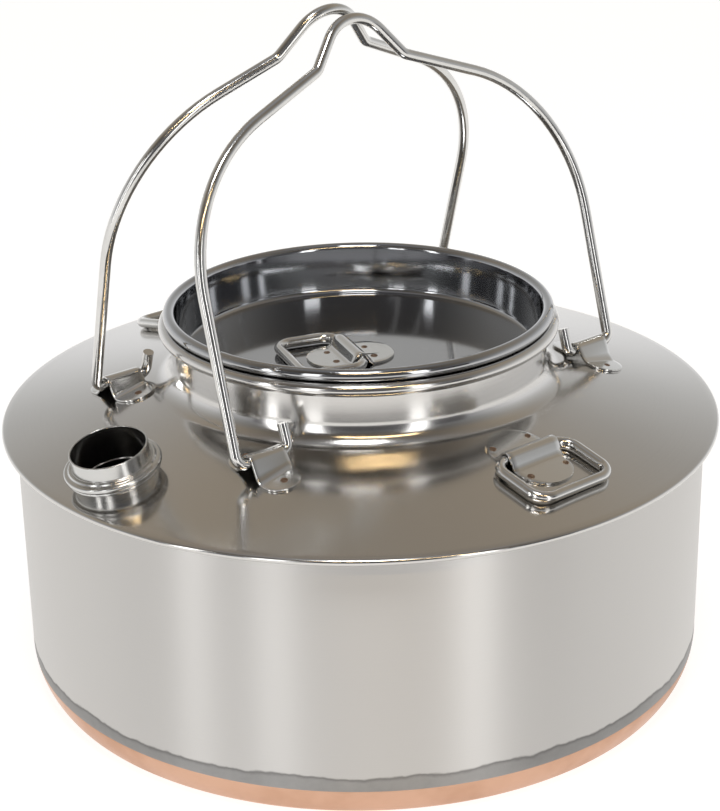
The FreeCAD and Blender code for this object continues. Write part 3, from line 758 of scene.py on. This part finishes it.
# %% Lid
LID_BEAD = 2.4
LID_BEAD_RADIUS = 73.3
LID_BEAD_END = 172
LID_WALL = 71.7
LID_DRAFT = 1.0
LID_CORNER = 3.0
LID_RINGS = 16
lid_low, lid_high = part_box("lid_pan")
lid_bead_up = lid_high.z / MM - LID_BEAD
lid_under = lid_low.z / MM
lid_outer = rounded([
    (0, lid_under, 0),
    (LID_WALL - LID_DRAFT, lid_under, LID_CORNER),
    (LID_WALL, lid_bead_up, 0),
], 12)
lid_outer[1:1] = subdivided(lid_outer[0], lid_outer[1], LID_RINGS)
lid_inner = offset(lid_outer, SHEET)
lid_inner[0] = Vector((0, lid_under + SHEET))
meet = degrees(asin((LID_BEAD_RADIUS - LID_WALL) / LID_BEAD))
lid_bead = arc((LID_BEAD_RADIUS, lid_bead_up), LID_BEAD, -90 - meet, LID_BEAD_END, BEAD_STEPS)
lid_piece = turned("lid_dish", lid_outer[:-1] + lid_bead + lid_inner[:-1][::-1], lid_steel)
settle(lid_piece, "lid", "lid_steel", "lid_pan")

# %% [markdown]
# ## Bent wire with Geometry Nodes
# A bail or a ring is a round wire bent on a jig: straight runs with a bend of known
# radius at each corner. Geometry Nodes does the same. The curve holds only the corners,
# and each point's radius carries its bend. Fillet Curve rounds them, the radius is set
# back to 1, and Curve to Mesh sweeps a circle of the wire's size. Change a corner and the
# whole wire follows.


# %% Node tree helpers
def new_tree(name, inputs):
    """A geometry node tree with a geometry input and output and named sizes."""
    tree = bpy.data.node_groups.new(name, "GeometryNodeTree")
    tree.interface.new_socket("Geometry", in_out="INPUT", socket_type="NodeSocketGeometry")
    for label, kind, value in inputs:
        socket = tree.interface.new_socket(label, in_out="INPUT", socket_type=kind)
        if value is not None:
            socket.default_value = value
    tree.interface.new_socket("Geometry", in_out="OUTPUT", socket_type="NodeSocketGeometry")
    return tree, tree.nodes.new("NodeGroupInput"), tree.nodes.new("NodeGroupOutput")


def add_node(tree, kind, settings=None, sockets=None):
    """Add a node: settings first, then a value or an output for each socket."""
    made = tree.nodes.new(kind)
    for name, setting in (settings or {}).items():
        setattr(made, name, setting)
    for name, value in (sockets or {}).items():
        if isinstance(value, bpy.types.NodeSocket):
            tree.links.new(value, made.inputs[name])
        else:
            made.inputs[name].default_value = value
    return made


def run_tree(source, tree, values, name, sharp=35):
    """Give an object the tree, set its inputs, and return the result as a new piece."""
    modifier = source.modifiers.new("nodes", "NODES")
    modifier.node_group = tree
    for item in tree.interface.items_tree:
        if item.name in values:
            modifier[item.identifier] = values[item.name]
    graph = bpy.context.evaluated_depsgraph_get()
    result = bpy.data.meshes.new_from_object(source.evaluated_get(graph))
    source.modifiers.clear()
    bpy.data.objects.remove(source)
    result.name = name
    finish_mesh(result, sharp)
    piece = bpy.data.objects.new(name, result)
    bpy.context.collection.objects.link(piece)
    print(name, "has", len(result.polygons), "faces")
    return piece


# %% [markdown]
# ### The tree for a bent wire
# One tree serves two bails and three rings. Its two inputs are the wire's radius and the
# material; everything else comes from the points of the curve that it is given.

# %% The bent wire tree
WIRE_BEND_STEPS = 18
WIRE_SIDES = 28


def wire_tree():
    tree, given, wanted = new_tree("bent_wire", [
        ("Wire Radius", "NodeSocketFloat", 0.002),
        ("Material", "NodeSocketMaterial", None),
    ])
    bend = add_node(tree, "GeometryNodeInputRadius")
    fillet = add_node(tree, "GeometryNodeFilletCurve", {"mode": "POLY"}, {
        "Curve": given.outputs["Geometry"], "Count": WIRE_BEND_STEPS, "Radius": bend.outputs[0]})
    plain = add_node(tree, "GeometryNodeSetCurveRadius", None, {"Curve": fillet.outputs[0], "Radius": 1.0})
    even = add_node(tree, "GeometryNodeSubdivideCurve", None, {"Curve": plain.outputs[0], "Cuts": 1})
    ring = add_node(tree, "GeometryNodeCurvePrimitiveCircle", {"mode": "RADIUS"}, {
        "Resolution": WIRE_SIDES, "Radius": given.outputs["Wire Radius"]})
    swept = add_node(tree, "GeometryNodeCurveToMesh", None, {
        "Curve": even.outputs[0], "Profile Curve": ring.outputs[0], "Fill Caps": True})
    real = add_node(tree, "GeometryNodeRealizeInstances", None, {"Geometry": swept.outputs[0]})
    painted = add_node(tree, "GeometryNodeSetMaterial", None, {
        "Geometry": real.outputs[0], "Material": given.outputs["Material"]})
    tree.links.new(painted.outputs[0], wanted.inputs[0])
    return tree


bent_wire = wire_tree()


def bend_wire(name, corners, stand, radius, closed=False):
    """Wire piece from (across, up, bend) corners in its own plane, in millimetres."""
    line = bpy.data.curves.new(name + "_path", "CURVE")
    line.dimensions = "3D"
    run = line.splines.new("POLY")
    run.points.add(len(corners) - 1)
    run.use_cyclic_u = closed
    for point, (across, up, bend) in zip(run.points, corners):
        place = stand @ (Vector((across, 0, up)) * MM)
        point.co = (*place, 1)
        point.radius = bend * MM
    source = bpy.data.objects.new(name + "_path", line)
    bpy.context.collection.objects.link(source)
    return run_tree(source, bent_wire, {"Wire Radius": radius * MM, "Material": wire_steel}, name)


# %% [markdown]
# ## The two bails
# Each bail is one wire: a turned-up end, a straight run through its ear, a leg, a large
# shoulder bend and the hump in the middle that the hand holds. The two differ a little,
# because they were bent by hand, so each has its own sway and rise. Both lean in until
# their humps nearly touch. The hinge line and its height come from the frame's joints.

# %% Bails
BAIL_WIRE = 2.1
STUB_BEND = 3.0
LEG_BEND = 4.0
LEG_HEIGHT = 100.7
LEG_TOP_BEND = 64.0
HUMP_HALF = 21.0
HUMP_FOOT = 128.2
HUMP_RISE = 25.5
HUMP_FOOT_BEND = 6.0
HUMP_BEND = 16.0
STUB_HEIGHT = 10.0
END_GAP = 0.3
EAR_WIDTH = 15.4
STUB_CIRCLE = 83.9


def bail(name, joint, lean, rise, leg_sway, hump_sway):
    """A bail on its joint's hinge line, leaning by degrees about X, its middle swayed along X."""
    pivot = Vector(joints[joint]["pos_m"])
    stub = sqrt(STUB_CIRCLE ** 2 - (pivot.y / MM) ** 2)
    leg = stub + STUB_BEND + END_GAP + EAR_WIDTH + END_GAP + LEG_BEND
    half = [
        (stub, 0, STUB_HEIGHT, 0),
        (stub, 0, 0, STUB_BEND),
        (leg, 0, 0, LEG_BEND),
        (leg, leg_sway, LEG_HEIGHT + rise, LEG_TOP_BEND),
        (HUMP_HALF, hump_sway, HUMP_FOOT + rise, HUMP_FOOT_BEND),
    ]
    right = [(sway + across, up, bend) for across, sway, up, bend in half]
    left = [(sway - across, up, bend) for across, sway, up, bend in reversed(half)]
    top = (hump_sway, HUMP_FOOT + HUMP_RISE + rise, HUMP_BEND)
    stand = Matrix.Translation(pivot) @ Matrix.Rotation(radians(lean), 4, "X")
    return bend_wire(name, right + [top] + left, stand, BAIL_WIRE)


near_bail = bail("bail_wire_near", "bail_near_swing", lean=-18.70, rise=0.0, leg_sway=5.0, hump_sway=0.5)
far_bail = bail("bail_wire_far", "bail_far_swing", lean=18.25, rise=3.5, leg_sway=-6.5, hump_sway=-6.0)
settle(near_bail, "bail_near", "wire_steel", "bail_near")
settle(far_bail, "bail_far", "wire_steel", "bail_far")

# %% [markdown]
# ## The rings
# The two side rings and the lid's ring are the same closed wire: a rectangle with easy
# corners, one side of which is the bar that turns in its clip. Only the place changes.

# %% Rings
RING_WIRE = 2.0
RING_HALF = 18.0
RING_LENGTH = 24.8
RING_BEND = 6.5
RING_CORNERS = [
    (RING_HALF, 0, RING_BEND),
    (RING_HALF, RING_LENGTH, RING_BEND),
    (-RING_HALF, RING_LENGTH, RING_BEND),
    (-RING_HALF, 0, RING_BEND),
]


def ring(name, joint, turn, fall):
    """A ring that lies away from its bar, down by `fall` radians, turned about up."""
    stand = (Matrix.Translation(Vector(joints[joint]["pos_m"]))
             @ Matrix.Rotation(turn, 4, "Z") @ Matrix.Rotation(pi / 2 + fall, 4, "X"))
    corners = [(0, 0, 0)] + RING_CORNERS
    return bend_wire(name, corners, stand, RING_WIRE, closed=True)


lid_axis = Vector(joints["lid_ring_fold"]["axis"])
lid_turn = atan2(lid_axis.y, lid_axis.x)
near_ring = ring("ring_near", "side_ring_near_fold", 0, SLOPE)
far_ring = ring("ring_far", "side_ring_far_fold", pi, SLOPE)
lid_ring = ring("ring_lid", "lid_ring_fold", lid_turn + pi, 0)
settle(near_ring, "side_ring_near", "wire_steel", "side_ring_near")
settle(far_ring, "side_ring_far", "wire_steel", "side_ring_far")
settle(lid_ring, "lid_ring", "wire_steel", "lid_ring")

# %% [markdown]
# ## The strap clips
# A clip is a strip of sheet folded over a wire, with a rounded tab each side that is
# spot-welded down. It is made as a grid: one direction runs along the strip over the
# wire, the other across it. The tabs lie on the cone or on the lid's floor, so their
# height is asked from that surface at every point. Solidify gives the strip its
# thickness, and a small bevel rounds its edges, where a polished strip shines most.

# %% Clip helper
STRAP = 0.9
CLIP_GAP = 0.3
RAMP = radians(60)
CLIP_COLUMNS = 10
TAB_ROWS = 14
TAB_CROWDING = 1.6
SEAT_GAP = 0.02
STRAP_EDGE = 0.18
WELD_REACH = 5.2
TOP_COOLING = 0.75


def strip_path(arch, height):
    """Half the middle line of a strip over a wire: top of the arch, ramp, start of the tab."""
    shoulder = arch * tan(RAMP / 2)
    foot = shoulder + height / tan(RAMP)
    return rounded([
        (0, height, 0),
        (shoulder, height, arch),
        (foot, 0, height * 0.6),
        (foot + height, 0, 0),
    ], 12)


def whole_path(arch, height, reach):
    """The strip's middle line from one tab's end to the other; rows crowd towards the ends."""
    half = strip_path(arch, height)[:-1]
    left = reach - half[-1].x
    shares = [(1 - step / TAB_ROWS) ** TAB_CROWDING for step in range(1, TAB_ROWS + 1)]
    half += [Vector((reach - left * share, 0)) for share in shares]
    return [Vector((-point.x, point.y)) for point in reversed(half[1:])] + half


def placed(pivot, turn, across, along):
    """The x and y of a place across and along a turned clip."""
    x = pivot.x + across * cos(turn) - along * sin(turn)
    y = pivot.y + across * sin(turn) + along * cos(turn)
    return x, y


def clip(name, pivot, turn, wire, half, reach, corner, seat, welds):
    """A strap clip over a wire at pivot, in millimetres; seat(x, y) is the face below."""
    arch = wire + CLIP_GAP + STRAP / 2
    wire_up = pivot.z - seat(pivot.x, pivot.y) - STRAP / 2
    path = whole_path(arch, wire_up + arch, reach)
    points, heats = [], []
    for along, up in path:
        end = max(abs(along) - (reach - corner), 0)
        width = half - corner + sqrt(max(corner ** 2 - end ** 2, 0))
        risen = min(up / wire_up, 1)
        for column in range(CLIP_COLUMNS + 1):
            x, y = placed(pivot, turn, width * (2 * column / CLIP_COLUMNS - 1), along)
            low = seat(x, y) + STRAP / 2 + SEAT_GAP
            z = low + (pivot.z - low) * risen + max(up - wire_up, 0)
            points.append(Vector((x, y, z)) * MM)
            near = min((Vector((x, y)) - weld).length for weld in welds)
            heats.append(exp(-(near / WELD_REACH) ** 2) * (1 - TOP_COOLING * risen))
    row = CLIP_COLUMNS + 1
    faces = [(a, a + 1, a + row + 1, a + row)
             for line in range(len(path) - 1)
             for a in range(line * row, line * row + CLIP_COLUMNS)]
    sheet_mesh = bpy.data.meshes.new(name)
    sheet_mesh.from_pydata([tuple(point) for point in points], [], faces)
    sheet_mesh.materials.append(strap_steel)
    sheet_mesh.attributes.new("heat", "FLOAT", "POINT").data.foreach_set("value", heats)
    piece = bpy.data.objects.new(name, sheet_mesh)
    bpy.context.collection.objects.link(piece)
    thick = piece.modifiers.new("thickness", "SOLIDIFY")
    thick.thickness = STRAP * MM
    thick.offset = 0
    thick.use_even_offset = True
    edge = piece.modifiers.new("edge", "BEVEL")
    edge.width = STRAP_EDGE * MM
    edge.segments = 2
    edge.limit_method = "ANGLE"
    edge.angle_limit = radians(50)
    edge.use_clamp_overlap = False
    bake_modifiers(piece, 40)
    print(name, "has", len(piece.data.polygons), "faces")
    return piece


# %% [markdown]
# ## Where the clips sit
# Four ears hold the bails, two wider clips hold the side rings and one holds the lid's
# ring. All of them ask the same helper, with the hinge places from the frame's joints.
# The weld places are kept in lists, because the strips need them for their heat tint and
# the weld marks need them next.

# %% Clips
EAR_REACH = 16.0
EAR_END = 7.4
EAR_WELD = 11.0
GRIP_HALF = 12.0
GRIP_REACH = 17.2
GRIP_END = 11.4
SIDE_WELDS = (8.7, 9.7)
LID_WELDS = (5.2, 7.8)
lid_floor = lid_under + SHEET


def on_cone(x, y):
    """The shoulder's height below a point in the plane."""
    return cone_height(hypot(x, y))


def on_lid(x, y):
    """The lid's floor is level."""
    return lid_floor


def weld_places(pivot, turn, spots):
    """Weld places round a clip, as points in the plane."""
    return [Vector(placed(pivot, turn, across, along)) for across, along in spots]


def four_corners(across, along):
    """Four spots, one towards each corner of a clip."""
    return [(side * across, way * along) for side in (-1, 1) for way in (-1, 1)]


ear_welds, side_welds = [], []
for name, joint in (("near", "bail_near_swing"), ("far", "bail_far_swing")):
    hinge = Vector(joints[joint]["pos_m"]) / MM
    middle = sqrt(STUB_CIRCLE ** 2 - hinge.y ** 2) + STUB_BEND + END_GAP + EAR_WIDTH / 2
    for hand, way in (("left", -1), ("right", 1)):
        pivot = Vector((way * middle, hinge.y, hinge.z))
        spots = weld_places(pivot, 0, [(0, -EAR_WELD), (0, EAR_WELD)])
        ear = clip(f"ear_{name}_{hand}", pivot, 0, BAIL_WIRE, EAR_WIDTH / 2, EAR_REACH, EAR_END,
                   on_cone, spots)
        settle(ear, "root", "strap_steel", f"bail_ear_{name}_{hand}")
        ear_welds += spots

for name in ("near", "far"):
    pivot = Vector(joints[f"side_ring_{name}_fold"]["pos_m"]) / MM
    spots = weld_places(pivot, 0, four_corners(*SIDE_WELDS))
    grip = clip(f"grip_{name}", pivot, 0, RING_WIRE, GRIP_HALF, GRIP_REACH, GRIP_END, on_cone, spots)
    settle(grip, "root", "strap_steel", f"side_clip_{name}")
    side_welds += spots

pivot = Vector(joints["lid_ring_fold"]["pos_m"]) / MM
lid_welds = weld_places(pivot, lid_turn, four_corners(*LID_WELDS))
lid_grip = clip("grip_lid", pivot, lid_turn, RING_WIRE, GRIP_HALF, GRIP_REACH, GRIP_END,
                on_lid, lid_welds)
settle(lid_grip, "lid", "strap_steel", "lid_clip")
print(len(ear_welds + side_welds), "welds on the shoulder,", len(lid_welds), "on the lid")

# %% [markdown]
# ## Weld marks
# A spot weld is a shallow dimple with a raised, burnt edge. One small dish is modelled
# and Geometry Nodes puts a copy at every weld, turned square to the strap by a vector
# stored on each point. Realize Instances makes them real, so that they can be exported.


# %% Weld tree
MARK_RADIUS = 1.4
MARK_SUNK = -0.1
MARK_STEPS = 20
MARK_SHARP = 60


def mark_mesh():
    """A closed dish with a raised edge, sunk a little into the strap."""
    section = rounded([
        (0, 0.05, 0),
        (0.5, 0.05, 0.3),
        (0.95, 0.24, 0.25),
        (1.25, 0.2, 0.1),
        (MARK_RADIUS, MARK_SUNK, 0),
    ], 3)
    section.append(Vector((0, MARK_SUNK)))
    return turned("mark", section, weld_button, None, MARK_STEPS, MARK_SHARP)


def mark_tree():
    tree, given, wanted = new_tree("weld_marks", [
        ("Mark", "NodeSocketObject", None),
        ("Size", "NodeSocketFloat", 1.0),
        ("Seed", "NodeSocketInt", 7),
        ("Material", "NodeSocketMaterial", None),
    ])
    shape = add_node(tree, "GeometryNodeObjectInfo", None, {"Object": given.outputs["Mark"]})
    up = add_node(tree, "GeometryNodeInputNamedAttribute", {"data_type": "FLOAT_VECTOR"}, {"Name": "up"})
    square = add_node(tree, "FunctionNodeAlignRotationToVector", {"axis": "Z"}, {"Vector": up.outputs[0]})
    spread = add_node(tree, "FunctionNodeRandomValue", {"data_type": "FLOAT"}, {
        "Seed": given.outputs["Seed"]})
    spread.inputs[2].default_value = 0.9
    spread.inputs[3].default_value = 1.1
    scale = add_node(tree, "ShaderNodeMath", {"operation": "MULTIPLY"}, {
        0: spread.outputs[1], 1: given.outputs["Size"]})
    marks = add_node(tree, "GeometryNodeInstanceOnPoints", None, {
        "Points": given.outputs["Geometry"], "Instance": shape.outputs["Geometry"],
        "Rotation": square.outputs[0], "Scale": scale.outputs[0]})
    real = add_node(tree, "GeometryNodeRealizeInstances", None, {"Geometry": marks.outputs[0]})
    painted = add_node(tree, "GeometryNodeSetMaterial", None, {
        "Geometry": real.outputs[0], "Material": given.outputs["Material"]})
    tree.links.new(painted.outputs[0], wanted.inputs[0])
    return tree


weld_marks = mark_tree()
mark = mark_mesh()


def add_marks(name, places, seat, up_at):
    """One piece with a weld mark at every place."""
    spots = [Vector((x, y, seat(x, y) + STRAP)) for x, y in places]
    cloud = bpy.data.meshes.new(name + "_points")
    cloud.from_pydata([tuple(spot * MM) for spot in spots], [], [])
    ups = [value for x, y in places for value in up_at(x, y)]
    cloud.attributes.new("up", "FLOAT_VECTOR", "POINT").data.foreach_set("vector", ups)
    source = bpy.data.objects.new(name + "_points", cloud)
    bpy.context.collection.objects.link(source)
    return run_tree(source, weld_marks, {"Mark": mark, "Size": 1.0, "Material": weld_button}, name,
                    MARK_SHARP)


def up_from_cone(x, y):
    """The direction square to the shoulder at a point."""
    out = Vector((x, y, 0)).normalized() * sin(SLOPE)
    return (out.x, out.y, cos(SLOPE))


def up_from_lid(x, y):
    """Square to the lid's level floor."""
    return (0, 0, 1)


ear_marks = add_marks("marks_ears", ear_welds, on_cone, up_from_cone)
side_marks = add_marks("marks_sides", side_welds, on_cone, up_from_cone)
lid_marks = add_marks("marks_lid", lid_welds, on_lid, up_from_lid)
bpy.data.objects.remove(mark)
settle(ear_marks, "root", "weld_button", "ear_spot_welds")
settle(side_marks, "root", "weld_button", "side_clip_spot_welds")
settle(lid_marks, "lid", "weld_button", "lid_clip_spot_welds")

# %% [markdown]
# ## The floor
# Mirror steel shows the room, so the room is the larger part of its material. A plain
# pale floor gives the lower half. It glows a little, so that it stays as pale as the
# horizon without strong lamps, which would burn out the wall.

# %% Floor
FLOOR_RADIUS = 7.0
FLOOR_SIDES = 64
FLOOR_GLOW = 0.84


def floor_material():
    material, surface, start = start_material("studio_floor")
    surface.inputs["Metallic"].default_value = 0.0
    surface.inputs["Roughness"].default_value = 0.7
    clouds = noise(object_point(start), 3.0)
    feed(surface, "Base Color", clouds.mix(paint(0.37, 0.37, 0.37), paint(0.39, 0.39, 0.39)))
    surface.inputs["Emission Color"].default_value = paint(1.0, 0.995, 0.985)
    surface.inputs["Emission Strength"].default_value = FLOOR_GLOW
    return material


floor_mesh = bpy.data.meshes.new("floor")
floor_angles = [2 * pi * side / FLOOR_SIDES for side in range(FLOOR_SIDES)]
floor_edge = [(cos(angle) * FLOOR_RADIUS, sin(angle) * FLOOR_RADIUS, 0) for angle in floor_angles]
floor_mesh.from_pydata(floor_edge, [], [tuple(range(FLOOR_SIDES))])
floor_mesh.materials.append(floor_material())
floor = bpy.data.objects.new("studio_floor", floor_mesh)
bpy.context.collection.objects.link(floor)
print("floor radius", FLOOR_RADIUS)

# %% [markdown]
# ## The sky
# The sky is a gradient by height: bright near the horizon, like the walls of a light
# tent, and darker and warmer above, where the tent is open. One side of it is dimmed,
# so that the front of the polished shoulder turns dark while its back stays bright.

# %% Sky
SKY = [
    (0.0, paint(1.0, 1.0, 1.0)),
    (0.10, paint(0.95, 0.95, 0.96)),
    (0.30, paint(0.64, 0.64, 0.63)),
    (0.50, paint(0.46, 0.44, 0.41)),
    (0.70, paint(0.40, 0.345, 0.275)),
    (0.85, paint(0.30, 0.265, 0.225)),
    (1.0, paint(0.34, 0.345, 0.36)),
]
OPEN_SIDE = radians(50)
world = bpy.data.worlds.new("studio_sky")
world.use_nodes = True
bpy.context.scene.world = world
sky = Value(world.node_tree)
direction = sky.node("ShaderNodeTexCoord", out=0)
height = sky.node("ShaderNodeSeparateXYZ", None, {0: direction}, out=2)
shade = height.node("ShaderNodeValToRGB", {"stops": SKY}, {0: height.clamp()})
open_way = (cos(OPEN_SIDE), sin(OPEN_SIDE), 0)
dot = {"operation": "DOT_PRODUCT"}
facing = direction.node("ShaderNodeVectorMath", dot, {0: direction, 1: open_way}, out=1)
dim = facing.step(-0.75, 0.35).mix(paint(0.26, 0.265, 0.28), paint(1.0, 1.0, 1.0))
multiply = {"data_type": "RGBA", "blend_type": "MULTIPLY"}
tinted = shade.node("ShaderNodeMix", multiply, {0: 1.0, 6: shade, 7: dim}, out=2)
background = world.node_tree.nodes["Background"]
world.node_tree.links.new(tinted.socket, background.inputs["Color"])
background.inputs["Strength"].default_value = 1.0
print("sky with", len(SKY), "stops")

# %% [markdown]
# ## A dark card
# Black card beside a shiny thing draws a dark edge on it. This one stands in front, is
# curved round the kettle, and is hidden from the camera only.


# %% Dark card
CARD_STEPS = 24
CARD_LIFT = 0.002


def card(name, azimuth, spread, distance, high):
    """A curved dark card that stands on the floor and shows only in reflections."""
    points = []
    for step in range(CARD_STEPS + 1):
        angle = radians(azimuth + spread * (2 * step / CARD_STEPS - 1))
        points += [(distance * cos(angle), distance * sin(angle), level) for level in (CARD_LIFT, high)]
    faces = [(2 * k, 2 * k + 1, 2 * k + 3, 2 * k + 2) for k in range(CARD_STEPS)]
    card_mesh = bpy.data.meshes.new(name)
    card_mesh.from_pydata(points, [], faces)
    material, surface, start = start_material(name)
    surface.inputs["Metallic"].default_value = 0.0
    surface.inputs["Roughness"].default_value = 1.0
    surface.inputs["Base Color"].default_value = paint(0.10, 0.10, 0.11)
    card_mesh.materials.append(material)
    made = bpy.data.objects.new(name, card_mesh)
    bpy.context.collection.objects.link(made)
    made.visible_camera = False


card("card_front", azimuth=-130, spread=62, distance=1.45, high=0.55)

# %% [markdown]
# ## The lamps
# Three tall soft lamps make the upright streaks on the wall, one above lights the top,
# and a thin warm strip draws the golden line on the neck and shoulder. All of them are
# hidden from the camera only.


# %% Lamps
def lamp(name, azimuth, elevation, distance, width, height, power, colour=(1, 1, 1)):
    """A soft rectangular lamp that faces the kettle from a direction, in degrees."""
    light = bpy.data.lights.new(name, "AREA")
    light.shape = "RECTANGLE"
    light.size, light.size_y = width, height
    light.energy = power
    light.color = colour
    made = bpy.data.objects.new(name, light)
    bpy.context.collection.objects.link(made)
    aim = Vector((0, 0, RIM_HEIGHT))
    made.matrix_world = look_from(distance, radians(azimuth), radians(elevation), aim)
    made.visible_camera = False


WARM = (1.0, 0.72, 0.38)
lamp("lamp_left", -181, 14, distance=1.3, width=0.14, height=0.9, power=1.5)
lamp("lamp_middle", -156, 12, distance=1.3, width=0.22, height=0.8, power=1.5)
lamp("lamp_right", -97, 14, distance=1.3, width=0.22, height=0.9, power=1.9)
lamp("lamp_top", -130, 68, distance=1.4, width=0.35, height=0.35, power=5)
lamp("lamp_warm", -118, 46, distance=1.4, width=0.9, height=0.035, power=2.2, colour=WARM)
bpy.context.scene.view_settings.view_transform = "Standard"
